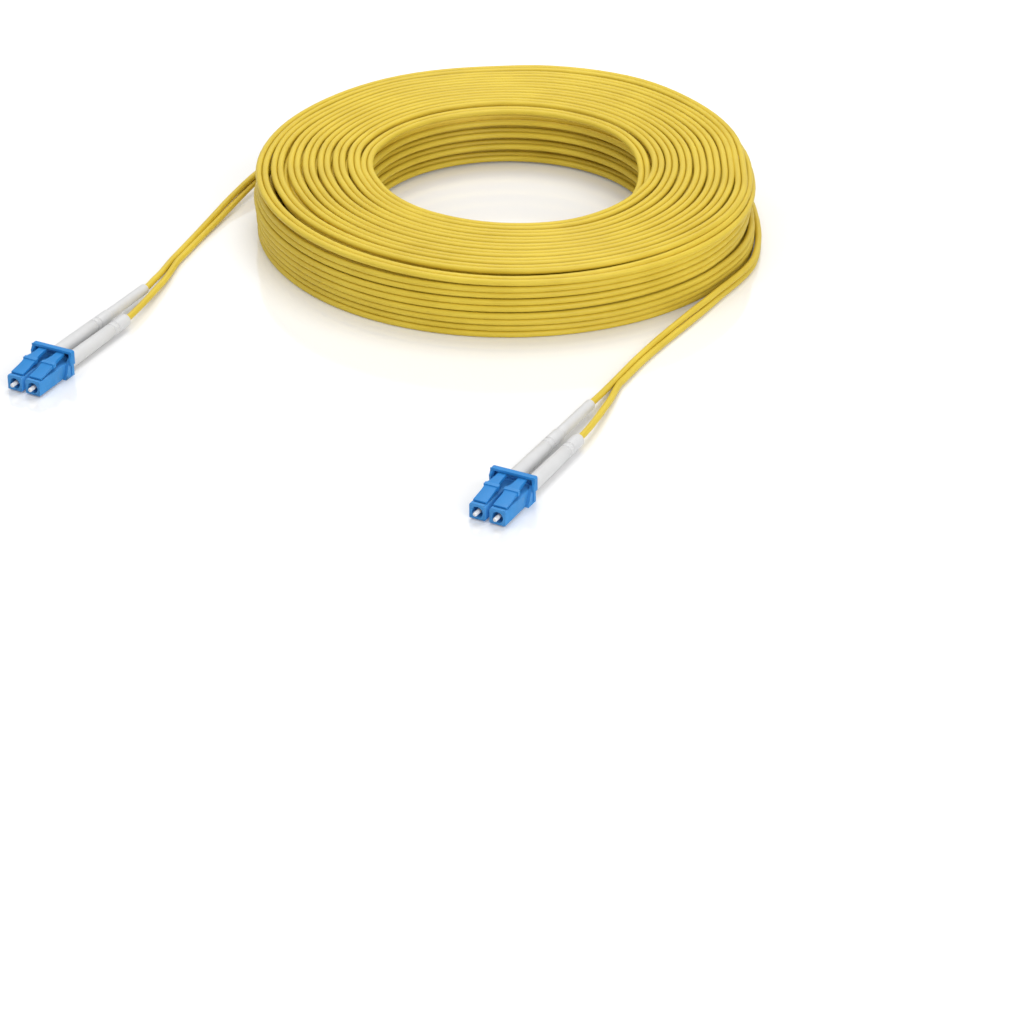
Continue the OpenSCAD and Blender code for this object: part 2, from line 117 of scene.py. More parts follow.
# The pair is wound in four levels that stand on edge, one flat level on them and a flat top level.
# Odd levels run inward and even ones outward. Roll is 0 lying flat with the first strand outside.
ENTRY_ANGLE = -30
INNER = 48.0
LEVEL = 4.35
LOWEST = 2.09
FLAT_LOW = 18.1
FLAT_TOP = 19.97
STEPS = 15
STEP_WIDTH = 0.17
ON_EDGE = -90
FLAT = -180
INNER_LEAN = 68
# Turns at which the levels end: the inner ends lie in front, the outer ones at the back
LEVEL_ENDS = [14 + 5 / 6, 29 + 1 / 3, 43 + 5 / 6, 58 + 1 / 3]
# Turns that a change of level takes
LEVEL_CHANGE = 0.16
FIRST_STEP = 0.525
LOW_FLAT_FROM, LOW_FLAT_TO = 58.55, 63.8
LOW_FLAT_OUTER, LOW_FLAT_INNER = 72.5, 52.2
TOP_START = 64 + 1 / 12
# Points of the route in each turn, where it shows and where it is hidden
POINTS_SEEN, POINTS_HIDDEN = 96, 40
# Spacing of the points of the free pair and of the legs
FREE_STEP, LEG_STEP = 2.5, 2.0

# Middle of the outer wall at each angle: a coil wound by hand isn't a circle
WALL_SHAPE = [(0, 76.7), (30, 76.6), (60, 77.4), (90, 77.8), (120, 78.2), (150, 79.0), (180, 80.1),
              (210, 79.7), (240, 80.1), (270, 80.3), (300, 80.5), (318, 80.4), (335, 79.2), (348, 77.8),
              (360, 76.7)]
# The first turn lies outside the wall at the right and the back
ENTRY_SHAPE = [(0, 5.6), (0.02, 4.4), (0.045, 3.4), (0.065, 2.7), (0.1, 2.25), (0.5, 2.25)]
# Top level: angle, radius of its innermost turn, radius of the next one and spacing of the others
TOP_SHAPE = [
    (0, 43.4, 47.9, 4.42), (20, 44.0, 49.0, 4.62), (40, 44.4, 50.0, 4.7), (60, 44.9, 50.6, 4.86),
    (80, 45.3, 50.9, 4.72), (92, 45.4, 51.2, 4.44), (105, 45.6, 51.4, 4.42), (122, 45.9, 51.5, 4.62),
    (141, 46.2, 51.4, 4.5), (160, 46.3, 51.2, 4.66), (180, 45.3, 49.3, 4.82), (200, 44.1, 48.1, 4.8),
    (220, 44.0, 48.3, 4.72), (240, 44.0, 48.65, 4.78), (270, 45.0, 49.95, 4.87), (300, 46.6, 52.0, 4.66),
    (330, 46.6, 51.6, 4.86), (345, 47.1, 51.7, 4.7)
]
# Height that the innermost turn sinks by, at the back
SUNK = [(0.1, 0), (0.17, 0.4), (0.3, 0.55), (0.42, 0.45), (0.55, 0), (1, 0)]
# Its last turns, from the seventh on: turns, radius, height and roll
LAST_TURNS = [(7.0, 73.9, FLAT_TOP, -180), (7.055, 76.2, FLAT_TOP, -184), (7.11, 78.4, FLAT_TOP, -182),
              (7.167, 80.6, FLAT_TOP, -180), (7.222, 79.8, FLAT_TOP, -180), (7.265, 78.2, FLAT_TOP, -180),
              (7.333, 79.0, FLAT_TOP, -180), (7.4, 78.6, FLAT_TOP, -180), (7.5, 78.8, FLAT_TOP, -180),
              (7.58, 78.5, 19.7, -181), (7.66, 78.4, 19.2, -182), (7.75, 79.2, 18.6, -184),
              (7.83, 79.4, 18.3, -196), (7.92, 79.0, 18.1, -220), (8.0, 77.4, 17.2, -250),
              (8.055, 78.5, 15.9, -264), (8.11, 79.8, 14.4, -268), (8.167, 80.4, 12.9, -270),
              (8.25, 80.9, 10.5, -270), (8.33, 81.3, 8.3, -270), (8.39, 82.1, 6.8, -270)]

# Free stretches of the pair, from the split near plug a to the coil, and from the coil to plug b
A_CORD = [(33, -109, 1.2, 0), (39.5, -96, 1.15, -5), (46.5, -84, 1.35, -20), (55.5, -70, 1.85, -45),
          (63.6, -57, 2.1, -75)]
B_CORD = [(-75.6, 38.5, 5.1, -270), (-83.0, 25, 4.4, -285), (-89.2, 12, 3.0, -310),
          (-94.6, -1, 1.8, -340), (-99.5, -14, 1.25, -355), (-104, -27, 1.2, -360)]
LEGS = {
    "a": {1: [(56, -2.95, 2.7), (63, -2.2, 2.5), (70, -1.1, 2.1), (77, 0.1, 1.6)],
          2: [(76, 3.3, 2.4)]},
    "b": {1: [(56, -2.6, 2.7), (64, -1.3, 2.5), (72, 0.4, 2.1), (80, 2.2, 1.6)],
          2: [(76, 4.1, 2.4), (82, 5.3, 1.9)]},
}


def smooth_keys(keys, at):
    """Values of keys (place, value) at the places asked for, on one smooth curve without overshoot."""
    x = np.array([k[0] for k in keys], float)
    y = np.array([k[1] for k in keys], float)
    step = np.diff(x)
    slope = np.diff(y) / step
    tangent = np.zeros(len(x))
    tangent[0], tangent[-1] = slope[0], slope[-1]
    for i in range(1, len(x) - 1):
        if slope[i - 1] * slope[i] > 0:
            w1, w2 = 2 * step[i] + step[i - 1], step[i] + 2 * step[i - 1]
            tangent[i] = (w1 + w2) / (w1 / slope[i - 1] + w2 / slope[i])
    i = np.clip(np.searchsorted(x, at, side="right") - 1, 0, len(x) - 2)
    h = step[i]
    s = (at - x[i]) / h
    return (
        (2 * s**3 - 3 * s**2 + 1) * y[i]
        + (s**3 - 2 * s**2 + s) * h * tangent[i]
        + (-2 * s**3 + 3 * s**2) * y[i + 1]
        + (s**3 - s**2) * h * tangent[i + 1]
    )


def step_up(x):
    """0 up to 0 and 1 from 1 on, with a smooth rise between them."""
    x = np.clip(x, 0, 1)
    return x * x * x * (10 - 15 * x + 6 * x * x)


def wall_radius(angle):
    return np.interp(angle % 360, *zip(*WALL_SHAPE))


def near_angle(angle, middle, width):
    """1 at an angle of the coil, and falling to 0 away from it."""
    off = (angle - middle + 180) % 360 - 180
    return np.exp(-(off / width) ** 2)


def wound_steps(t):
    """How far each place of the four levels is from the outer wall to the inner one, in steps."""
    count = np.full(len(t), -1.0) + step_up((t - FIRST_STEP) / STEP_WIDTH + 0.5)
    begin = FIRST_STEP + 0.886
    for number, end in enumerate(LEVEL_ENDS):
        places = np.linspace(begin, end - 1, STEPS)
        way = 1 if number % 2 == 0 else -1
        for place in places:
            count += way * step_up((t - place) / STEP_WIDTH + 0.5)
        begin = end + 1
    return count


def coil_route():
    """Points and rolls of the pair's middle through the coil, finer where it shows."""
    turns, t, last = [], 0.0, TOP_START + LAST_TURNS[-1][0]
    while t < last:
        turns.append(t)
        count = float(wound_steps(np.array([t]))[0])
        hidden = t < LOW_FLAT_FROM and 1.5 < count < STEPS - 1.5
        t += 1 / (POINTS_HIDDEN if hidden else POINTS_SEEN)
    turns = np.array(turns + [last])
    angle = ENTRY_ANGLE + 360 * turns
    outer = wall_radius(angle)
    count = wound_steps(turns)
    # The upper levels are drawn in at the right, where the last turn goes over the rim
    level = sum(step_up((turns - end) / LEVEL_CHANGE + 0.5) for end in LEVEL_ENDS[:3])
    drawn_in = 2.0 * step_up((level - 1.4) / 1.6) * near_angle(angle, 20, 45)
    part = np.clip(count, 0, STEPS) / STEPS
    radius = (outer - drawn_in) * (1 - part) + INNER * part - 0.7 * step_up(count - STEPS + 1)
    entry = np.interp(turns, *zip(*ENTRY_SHAPE))
    radius += np.clip(-count, 0, 1) * entry
    height = LOWEST + LEVEL * level
    roll = ON_EDGE - INNER_LEAN * step_up(count - STEPS + 1)

    # Flat level under the top
    over = step_up((turns - LEVEL_ENDS[3] - 0.02) / (LOW_FLAT_FROM - LEVEL_ENDS[3]) + 0.1)
    low_flat = np.interp(turns, [LOW_FLAT_FROM, LOW_FLAT_TO], [LOW_FLAT_OUTER, LOW_FLAT_INNER])
    radius = radius * (1 - over) + low_flat * over
    height = height * (1 - over) + FLAT_LOW * over
    roll = roll * (1 - over) + FLAT * over

    # Top level
    keys = [(a / 360, first) for a, first, _, _ in TOP_SHAPE]
    for k in range(1, 7):
        keys += [(k + a / 360, second + (k - 1) * pitch) for a, _, second, pitch in TOP_SHAPE]
    keys += [(n, r) for n, r, _, _ in LAST_TURNS]
    join = LOW_FLAT_TO - TOP_START
    n = turns - TOP_START
    top = n > join
    radius[top] = smooth_keys([(join, LOW_FLAT_INNER), (join + 0.08, 50.6)] + keys, n[top])
    rise = [(join, FLAT_LOW), (-0.04, FLAT_LOW + 0.2), (0.12, FLAT_TOP), (6.9, FLAT_TOP)]
    height[top] = smooth_keys(rise + [(k[0], k[2]) for k in LAST_TURNS], n[top])
    height[top] -= np.interp(n[top], *zip(*SUNK))
    radius[top] += 0.95 * np.exp(-((n[top] - 6.56) / 0.085) ** 2)
    roll[top] = smooth_keys([(join, FLAT), (6.9, FLAT)] + [(k[0], k[3]) for k in LAST_TURNS], n[top])

    # Each turn strays a little, and the levels bulge by different amounts
    wide = np.radians(angle)
    near_wall = np.clip(1 - count / 2, 0, 1) * np.clip(1 + count * 0.6, 0, 1)
    near_wall *= turns < LEVEL_ENDS[3] - 0.3
    radius += near_wall * 0.4 * np.sin(wide + 2.2 * level + 0.6)
    # The lower levels come out where the first turn enters
    bulge = np.clip(2 - level, 0, 1.3) * np.clip(1 + count, 0, 1)
    radius += near_wall * bulge * near_angle(angle, -20, 13)
    roll += near_wall * 9 * np.sin(2 * wide + 2.6 * level)
    radius += 0.07 * np.sin(1.7 * wide + 0.9 * turns) + 0.05 * np.sin(2.9 * wide + 2.3)
    height += np.where(turns < LEVEL_ENDS[3], 0.05, 0.0) * np.sin(1.3 * wide + 1.1 * turns)
    points = np.stack([radius * np.cos(wide), radius * np.sin(wide), height], 1)
    return points, roll


def rounded_line(points, step):
    """Points spaced by about a step on a smooth curve through the given ones."""
    p = np.array(points, float)
    gaps = np.linalg.norm(np.diff(p[:, :3], axis=0), axis=1)
    ghost = [2 * p[0] - p[1]] + list(p) + [2 * p[-1] - p[-2]]
    out = []
    for i in range(len(p) - 1):
        a, b, c, d = ghost[i], ghost[i + 1], ghost[i + 2], ghost[i + 3]
        ta = 0.0
        tb = ta + np.linalg.norm(b[:3] - a[:3]) ** 0.5
        tc = tb + np.linalg.norm(c[:3] - b[:3]) ** 0.5
        td = tc + np.linalg.norm(d[:3] - c[:3]) ** 0.5
        n = max(2, int(round(gaps[i] / step)))
        for t in np.linspace(tb, tc, n, endpoint=False):
            ab = (tb - t) / (tb - ta) * a + (t - ta) / (tb - ta) * b
            bc = (tc - t) / (tc - tb) * b + (t - tb) / (tc - tb) * c
            cd = (td - t) / (td - tc) * c + (t - tc) / (td - tc) * d
            abc = (tc - t) / (tc - ta) * ab + (t - ta) / (tc - ta) * bc
            bcd = (td - t) / (td - tb) * bc + (t - tb) / (td - tb) * cd
            out.append((tc - t) / (tc - tb) * abc + (t - tb) / (tc - tb) * bcd)
    out.append(p[-1])
    return np.array(out)


def pair_route():
    """The pair's middle from split to split, as points and rolls."""
    points, roll = coil_route()
    coil = [tuple(p) + (r,) for p, r in zip(points, roll)]
    # The free stretches meet the coil near its two ends, in line with the points that follow
    first, last, on = 2, len(points) - 8, 6
    head = rounded_line(A_CORD + [coil[first], coil[first + on]], FREE_STEP)
    tail = rounded_line([coil[last - on], coil[last]] + B_CORD, FREE_STEP)
    head_end = int(np.argmin(np.linalg.norm(head[:, :3] - points[first], axis=1)))
    tail_from = int(np.argmin(np.linalg.norm(tail[:, :3] - points[last], axis=1)))
    line = np.concatenate([head[:head_end, :3], points[first:last], tail[tail_from:, :3]])
    turn = np.concatenate([head[:head_end, 3], roll[first:last], tail[tail_from:, 3]])
    return line, np.radians(turn)


def directions(points):
    """Unit vectors along a line of points."""
    ahead = np.empty_like(points)
    ahead[1:-1] = points[2:] - points[:-2]
    ahead[0] = points[1] - points[0]
    ahead[-1] = points[-1] - points[-2]
    return ahead / np.linalg.norm(ahead, axis=1)[:, None]


def strand_route(line, turn, side):
    """One strand of the pair, with the direction from it to its neighbour at each point."""
    along = directions(line)
    right = np.cross(along, (0, 0, 1))
    right /= np.linalg.norm(right, axis=1)[:, None]
    up = np.cross(right, along)
    aside = right * np.cos(turn)[:, None] + up * np.sin(turn)[:, None]
    return line + side * STRAND_C * aside, -side * aside


def leg_route(end, side, meet, way):
    """A strand from inside its boot to the split."""
    straight = (BOOT_END if side == 1 else MARKER_END) + 2
    points = [to_world(end, u, side_v(side), FIBRE_Z) for u in (STRAND_FROM, STRAND_ON, straight)]
    points += [to_world(end, *p) for p in LEGS[end][side]]
    points += [Vector(meet) - Vector(way) * 3, Vector(meet)]
    return rounded_line([tuple(p) for p in points], LEG_STEP)


def sweep_strand(name, centre, aside, web_from, web_to):
    """A round strand as a closed tube; between two of its points it carries half of the web."""
    sides = STRAND_SIDES
    along = directions(centre)
    aside = aside - along * np.sum(aside * along, axis=1)[:, None]
    aside /= np.linalg.norm(aside, axis=1)[:, None]
    other = np.cross(along, aside)
    n = len(centre)
    rings = np.empty((n, sides, 3))
    for k in range(sides):
        a = 2 * math.pi * k / sides
        reach = np.full(n, STRAND_D / 2)
        if k == 0 and web_to > web_from:
            reach[web_from:web_to] += WEB * WEB_REACH
        rings[:, k] = centre + (aside * math.cos(a) + other * math.sin(a)) * reach[:, None]
    verts = rings.reshape(-1, 3) * MM
    i = np.arange(n - 1)[:, None] * sides
    k = np.arange(sides)[None, :]
    following = (k + 1) % sides
    quads = np.stack([i + k, i + following, i + sides + following, i + sides + k], -1).reshape(-1, 4)
    faces = quads.tolist()
    faces.append(list(range(sides))[::-1])
    faces.append([(n - 1) * sides + q for q in range(sides)])
    mesh = bpy.data.meshes.new(name)
    mesh.from_pydata(verts.tolist(), [], faces)
    mesh.update()
    length = np.concatenate([[0], np.cumsum(np.linalg.norm(np.diff(centre, axis=0), axis=1))])
    run = np.array([v for v in length for _ in range(sides)])
    layer = mesh.uv_layers.new(name="along_cord")
    corner = np.empty(len(mesh.loops), dtype=np.int32)
    mesh.loops.foreach_get("vertex_index", corner)
    around = corner % sides
    wrap = np.zeros(len(corner))
    quad_loops = len(quads) * 4
    q = np.arange(quad_loops).reshape(-1, 4)
    last = around[q[:, 0]] == sides - 1
    wrap[q[last, 1]] = 1
    wrap[q[last, 2]] = 1
    uv = np.stack([around / sides + wrap, run[corner] * MM / MAP_LENGTH], 1).astype(np.float32)
    layer.data.foreach_set("uv", uv.ravel())
    mesh.polygons.foreach_set("use_smooth", [True] * len(mesh.polygons))
    piece = bpy.data.objects.new(name, mesh)
    bpy.context.scene.collection.objects.link(piece)
    return piece


def make_cords(material):
    """Both strands, each from its boot on one plug to its boot on the other."""
    line, turn = pair_route()
    strands = {}
    for number, side, near, far in ((1, 1, ("a", 1), ("b", 2)), (2, -1, ("a", 2), ("b", 1))):
        pair, aside = strand_route(line, turn, side)
        along = directions(line)
        first = leg_route(*near, pair[0], along[0])
        second = leg_route(*far, pair[-1], -along[-1])[::-1]
        centre = np.concatenate([first[:-1], pair, second[1:]])
        sides = np.concatenate([np.repeat(aside[:1], len(first) - 1, 0), aside,
                                np.repeat(aside[-1:], len(second) - 1, 0)])
        start, stop = len(first) - 1, len(first) - 1 + len(pair)
        piece = sweep_strand(f"cord_strand_{number}", centre, sides, start if number == 1 else 0,
                             stop if number == 1 else 0)
        piece.data.materials.append(material)
        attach(piece, "root")
        length = float(np.linalg.norm(np.diff(centre, axis=0), axis=1).sum()) * MM
        print("strand", number, "length", round(length, 3), "m in", len(centre), "points")
        strands[number] = piece
    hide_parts("coil_turns", "coil_core", "a_zip_cord", "b_zip_cord", "a1_leg", "b2_leg")
    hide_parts("a2_leg", "b1_leg")
    return strands


# ---------------------------------------------------------------- node helpers


def new_material(name):
    """A new material with its nodes, its links and its main shader."""
    material = bpy.data.materials.new(name)
    material.use_nodes = True
    tree = material.node_tree
    return material, tree.nodes, tree.links, tree.nodes["Principled BSDF"]


def feed(links, socket, value):
    """Give a socket a number, or link it to the output of another node."""
    if isinstance(value, (int, float)):
        socket.default_value = value
    else:
        links.new(value, socket)


def math_node(nodes, links, work, first, second):
    node = nodes.new("ShaderNodeMath")
    node.operation = work
    feed(links, node.inputs[0], first)
    feed(links, node.inputs[1], second)
    return node.outputs[0]


def map_range(nodes, links, value, start, stop, low=0.0, high=1.0):
    """A value that goes from low to high as the given one goes from start to stop."""
    node = nodes.new("ShaderNodeMapRange")
    node.inputs["From Min"].default_value = start
    node.inputs["From Max"].default_value = stop
    node.inputs["To Min"].default_value = low
    node.inputs["To Max"].default_value = high
    links.new(value, node.inputs["Value"])
    return node.outputs["Result"]


def noise(nodes, links, place, scale, detail):
    node = nodes.new("ShaderNodeTexNoise")
    node.inputs["Detail"].default_value = detail
    feed(links, node.inputs["Scale"], scale)
    links.new(place, node.inputs["Vector"])
    return node.outputs["Fac"]


def mix_colors(nodes, links, share, first, second, blend="MIX"):
    node = nodes.new("ShaderNodeMix")
    node.data_type = "RGBA"
    node.blend_type = blend
    feed(links, node.inputs["Factor"], share)
    links.new(first, node.inputs["A"])
    links.new(second, node.inputs["B"])
    return node.outputs["Result"]


def add_relief(nodes, links, shader, height, strength, distance):
    """Fine bumps on a surface, distance deep in metres."""
    relief = nodes.new("ShaderNodeBump")
    relief.inputs["Strength"].default_value = strength
    relief.inputs["Distance"].default_value = distance
    links.new(height, relief.inputs["Height"])
    links.new(relief.outputs["Normal"], shader.inputs["Normal"])


# ---------------------------------------------------------------- floor and light

FLOOR_SIZE = 12
# Painted glow on the floor that only the camera sees: metres from this place at which it begins and is full,
# and how strong it is there
GLOW_MIDDLE = (-0.02, -0.08, 0)
GLOW_FROM, GLOW_FULL = 0.14, 0.42
GLOW_NEAR, GLOW_FAR = 0.09, 0.7
# Strength of the sky as light, and as it is seen and reflected
SKY_LIGHT, SKY_SEEN = 0.38, 1.0
# Name, place and size, power and aim of each lamp
LAMPS = (
    ("key", (40, 280, 840), 0.6, 4.5, (0, -40, 0)),
    ("fill", (420, -760, 420), 0.8, 4.9, (0, -60, 0)),
    ("side", (-620, -160, 640), 0.8, 1.6, (0, -60, 0)),
)


def make_floor():
    """Pale floor with a soft gloss and a painted glow, seen only by the camera, that makes it bright further
    out, so that shadows only show near the cord.
    """
    bpy.ops.object.select_all(action="DESELECT")
    bpy.ops.mesh.primitive_plane_add(size=FLOOR_SIZE, location=(0, 0, 0))
    floor = bpy.context.object
    floor.name = "floor"
    material, nodes, links, shader = new_material("pale_floor")
    shader.inputs["Base Color"].default_value = (0.86, 0.86, 0.86, 1)
    shader.inputs["Roughness"].default_value = 0.09
    shader.inputs["IOR"].default_value = 1.6
    shader.inputs["Specular IOR Level"].default_value = 0.75
    # Painted glow: light that only the camera sees, weak near the cord and strong further out
    place = nodes.new("ShaderNodeTexCoord")
    away = nodes.new("ShaderNodeVectorMath")
    away.operation = "DISTANCE"
    away.inputs[1].default_value = GLOW_MIDDLE
    links.new(place.outputs["Object"], away.inputs[0])
    camera_glow = map_range(nodes, links, away.outputs["Value"], GLOW_FROM, GLOW_FULL, GLOW_NEAR, GLOW_FAR)
    path = nodes.new("ShaderNodeLightPath")
    camera_glow = math_node(nodes, links, "MULTIPLY", path.outputs["Is Camera Ray"], camera_glow)
    shader.inputs["Emission Color"].default_value = (1, 1, 1, 1)
    links.new(camera_glow, shader.inputs["Emission Strength"])
    floor.data.materials.append(material)


def make_sky():
    """White all round: bright to look at and in reflections, and dimmer as light."""
    world = bpy.data.worlds.new("studio")
    bpy.context.scene.world = world
    world.use_nodes = True
    nodes, links = world.node_tree.nodes, world.node_tree.links
    sky = nodes["Background"]
    path = nodes.new("ShaderNodeLightPath")
    seen = math_node(nodes, links, "MAXIMUM", path.outputs["Is Camera Ray"], path.outputs["Is Glossy Ray"])
    sky.inputs["Color"].default_value = (1, 1, 1, 1)
    links.new(map_range(nodes, links, seen, 0, 1, SKY_LIGHT, SKY_SEEN), sky.inputs["Strength"])


def make_lamps():
    for name, place, size, power, aim in LAMPS:
        data = bpy.data.lights.new(name, "AREA")
        data.shape = "DISK"
        data.size = size
        data.energy = power
        lamp = bpy.data.objects.new(name, data)
        bpy.context.scene.collection.objects.link(lamp)
        lamp.location = Vector(place) * MM
        way = Vector(aim) - Vector(place)
        lamp.rotation_euler = way.to_track_quat("-Z", "Y").to_euler()


# ---------------------------------------------------------------- working of the plug's pieces

# The plug's pieces are worked in millimetres along u, v and z: along the plug from its nose to its boot,
# across it, and up. They are then placed by their meshes.


def work_alone(piece):
    """Leave edit mode, and select only this piece."""
    if bpy.context.object and bpy.context.object.mode != "OBJECT":
        bpy.ops.object.mode_set(mode="OBJECT")
    bpy.ops.object.select_all(action="DESELECT")
    if piece:
        bpy.context.view_layer.objects.active = piece
        piece.select_set(True)


def block(name, low, high):
    """A box between two corners."""
    work_alone(None)
    low, high = Vector(low), Vector(high)
    bpy.ops.mesh.primitive_cube_add(size=1, location=(low + high) / 2)
    piece = bpy.context.object
    piece.name = name
    piece.scale = high - low
    bpy.ops.object.transform_apply(location=True, rotation=True, scale=True)
    return piece


def pick_faces(piece, test):
    """In edit mode, select only the faces whose middle and normal pass a test."""
    bpy.ops.mesh.select_mode(type="FACE")
    bpy.ops.mesh.select_all(action="DESELECT")
    mesh = bmesh.from_edit_mesh(piece.data)
    for face in mesh.faces:
        if test(face.calc_center_median(), face.normal):
            face.select_set(True)
    bmesh.update_edit_mesh(piece.data)


def pick_edges(piece, test):
    """In edit mode, select only the edges whose two ends pass a test."""
    bpy.ops.mesh.select_mode(type="EDGE")
    bpy.ops.mesh.select_all(action="DESELECT")
    mesh = bmesh.from_edit_mesh(piece.data)
    for edge in mesh.edges:
        if test(edge.verts[0].co, edge.verts[1].co):
            edge.select_set(True)
    bmesh.update_edit_mesh(piece.data)


def pick_corners(piece, test):
    """In edit mode, select only the corners that pass a test."""
    bpy.ops.mesh.select_mode(type="VERT")
    bpy.ops.mesh.select_all(action="DESELECT")
    mesh = bmesh.from_edit_mesh(piece.data)
    for corner in mesh.verts:
        if test(corner.co):
            corner.select_set(True)
    mesh.select_flush(True)
    bmesh.update_edit_mesh(piece.data)


def split_at(piece, place, across):
    bpy.ops.mesh.select_all(action="SELECT")
    bpy.ops.mesh.bisect(plane_co=place, plane_no=across)


def push_out(way):
    bpy.ops.mesh.extrude_region_move(TRANSFORM_OT_translate={"value": way})


def close_up():
    """Join what touches, and turn the faces outwards."""
    bpy.ops.mesh.select_all(action="SELECT")
    bpy.ops.mesh.remove_doubles(threshold=0.0005)
    bpy.ops.mesh.normals_make_consistent(inside=False)
    bpy.ops.object.mode_set(mode="OBJECT")


def drawn_bar(name, sections):
    """A bar along the plug through sections of (along, half width, bottom, top)."""
    u, half, low, high = sections[0]
    piece = block(name, (u - 0.1, -half, low), (u, half, high))
    bpy.ops.object.mode_set(mode="EDIT")
    pick_faces(piece, lambda c, n: n.x > 0.9)
    for now_u, now_half, now_low, now_high in sections[1:]:
        push_out((now_u - u, 0, 0))
        middle, now_middle = (low + high) / 2, (now_low + now_high) / 2
        bpy.ops.transform.resize(value=(1, now_half / half, (now_high - now_low) / (high - low)),
                                 center_override=(now_u, 0, middle))
        bpy.ops.transform.translate(value=(0, 0, now_middle - middle))
        u, half, low, high = now_u, now_half, now_low, now_high
    # Take off the first stub
    start = sections[0][0]
    pick_corners(piece, lambda c: c.x < start - 0.05)
    bpy.ops.transform.translate(value=(0.1, 0, 0))
    close_up()
    return piece


def turned_rod(name, stations, sides=48, z=FIBRE_Z):
    """A turned rod along the fibre through stations of (along, radius)."""
    work_alone(None)
    (u, r), rest = stations[0], stations[1:]
    bpy.ops.mesh.primitive_cylinder_add(vertices=sides, radius=r, depth=0.1, location=(u - 0.05, 0, z),
                                        rotation=(0, math.pi / 2, 0))
    piece = bpy.context.object
    piece.name = name
    bpy.ops.object.transform_apply(location=True, rotation=True, scale=True)
    bpy.ops.object.mode_set(mode="EDIT")
    pick_faces(piece, lambda c, n: n.x > 0.9)
    for now_u, now_r in rest:
        push_out((now_u - u, 0, 0))
        bpy.ops.transform.resize(value=(1, now_r / r, now_r / r), center_override=(now_u, 0, z))
        u, r = now_u, now_r
    start = stations[0][0]
    pick_corners(piece, lambda c: c.x < start - 0.05)
    bpy.ops.transform.translate(value=(0.1, 0, 0))
    close_up()
    return piece


def round_edges(piece, width, segments=2, angle=35):
    work_alone(piece)
    rounding = piece.modifiers.new("rounding", "BEVEL")
    rounding.width = width
    rounding.segments = segments
    rounding.limit_method = "ANGLE"
    rounding.angle_limit = math.radians(angle)
    bpy.ops.object.modifier_apply(modifier=rounding.name)
    bpy.ops.object.shade_smooth_by_angle(angle=math.radians(32))


def cut_or_join(piece, tool, way):
    work_alone(piece)
    change = piece.modifiers.new("change", "BOOLEAN")
    change.operation = way
    change.solver = "EXACT"
    change.object = tool
    bpy.ops.object.modifier_apply(modifier=change.name)
    bpy.data.objects.remove(tool, do_unlink=True)


def cut(piece, tool):
    cut_or_join(piece, tool, "DIFFERENCE")


def join(piece, tool):
    cut_or_join(piece, tool, "UNION")


def across_rod(name, u, z, radius, width):
    work_alone(None)
    bpy.ops.mesh.primitive_cylinder_add(vertices=32, radius=radius, depth=width, location=(u, 0, z),
                                        rotation=(math.pi / 2, 0, 0))
    piece = bpy.context.object
    piece.name = name
    bpy.ops.object.transform_apply(location=True, rotation=True, scale=True)
    return piece


# ---------------------------------------------------------------- plug pieces

RECESS_R, RECESS_DEPTH = 1.65, 2.6
ROOT_U, ROOT_Z, ROOT_R = 2.1, 5.2, 0.4
CLIP_U, CLIP_END = 12.6, 17.08
CLIP_IN, CLIP_OUT = 5.425, 6.225
BAR_U, BAR_END, BAR_Z, BAR_TOP = 13.5, 16.6, 7.6, 8.4
EAR_IN, EAR_OUT, EAR_U, EAR_LOW = 6.275, 7.0, 14.2, 4.1
SPRING_U, SPRING_END, SPRING_SEAT = 5.65, 10.15, 10.2
SPRING_WIRE_R, SPRING_R, SPRING_TURNS = 0.17, 1.12, 7
BOOT_R, BOOT_END_R = 2.3, 1.95
BOOT_GROOVES = (41.4, 43.6)
# Radius of the bores that hold a strand
STRAND_BORE_R = 1.06
WALL_TOP = 5.9


def make_housing():
    """Square housing with a round recess for the ferrule and a brow in front of the latch."""
    housing = block("housing", (0, -PLUG_W / 2, CLIP_FLOOR), (PLUG_LEN, PLUG_W / 2, PLUG_TOP))
    bpy.ops.object.mode_set(mode="EDIT")
    # The front is a little wider than the rear, which sits between the clip's walls
    split_at(housing, (11.5, 0, 0), (1, 0, 0))
    split_at(housing, (12.3, 0, 0), (1, 0, 0))
    pick_corners(housing, lambda c: c.x < 11.6)
    bpy.ops.transform.resize(value=(1, 1.1, 1), center_override=(0, 0, FIBRE_Z))
    pick_edges(housing, lambda a, b: abs(a.x - b.x) > 0.2 and abs(a.y) > 2.1 and abs(b.y) > 2.1)
    bpy.ops.mesh.bevel(offset=0.25, segments=3, affect="EDGES")
    close_up()
    brow = block("brow", (0, -2.1, PLUG_TOP - 0.6), (1.1, 2.1, PLUG_TOP + 0.35))
    bpy.ops.object.mode_set(mode="EDIT")
    # The brow slopes down towards the latch
    pick_corners(brow, lambda c: c.x > 1 and c.z > PLUG_TOP)
    bpy.ops.transform.translate(value=(0, 0, -0.12))
    close_up()
    join(housing, brow)
    cut(housing, turned_rod("room", [(-1, RECESS_R + 0.12), (0, RECESS_R + 0.12), (0.12, RECESS_R),
                                     (RECESS_DEPTH, RECESS_R), (RECESS_DEPTH, 0.7), (3.3, 0.7), (3.3, 1.4),
                                     (9.6, 1.4), (9.6, 1.95), (PLUG_LEN + 1, 1.95)]))
    cut(housing, across_rod("root_seat", ROOT_U, ROOT_Z, ROOT_R + 0.05, PLUG_W + 2))
    round_edges(housing, 0.07)
    return housing


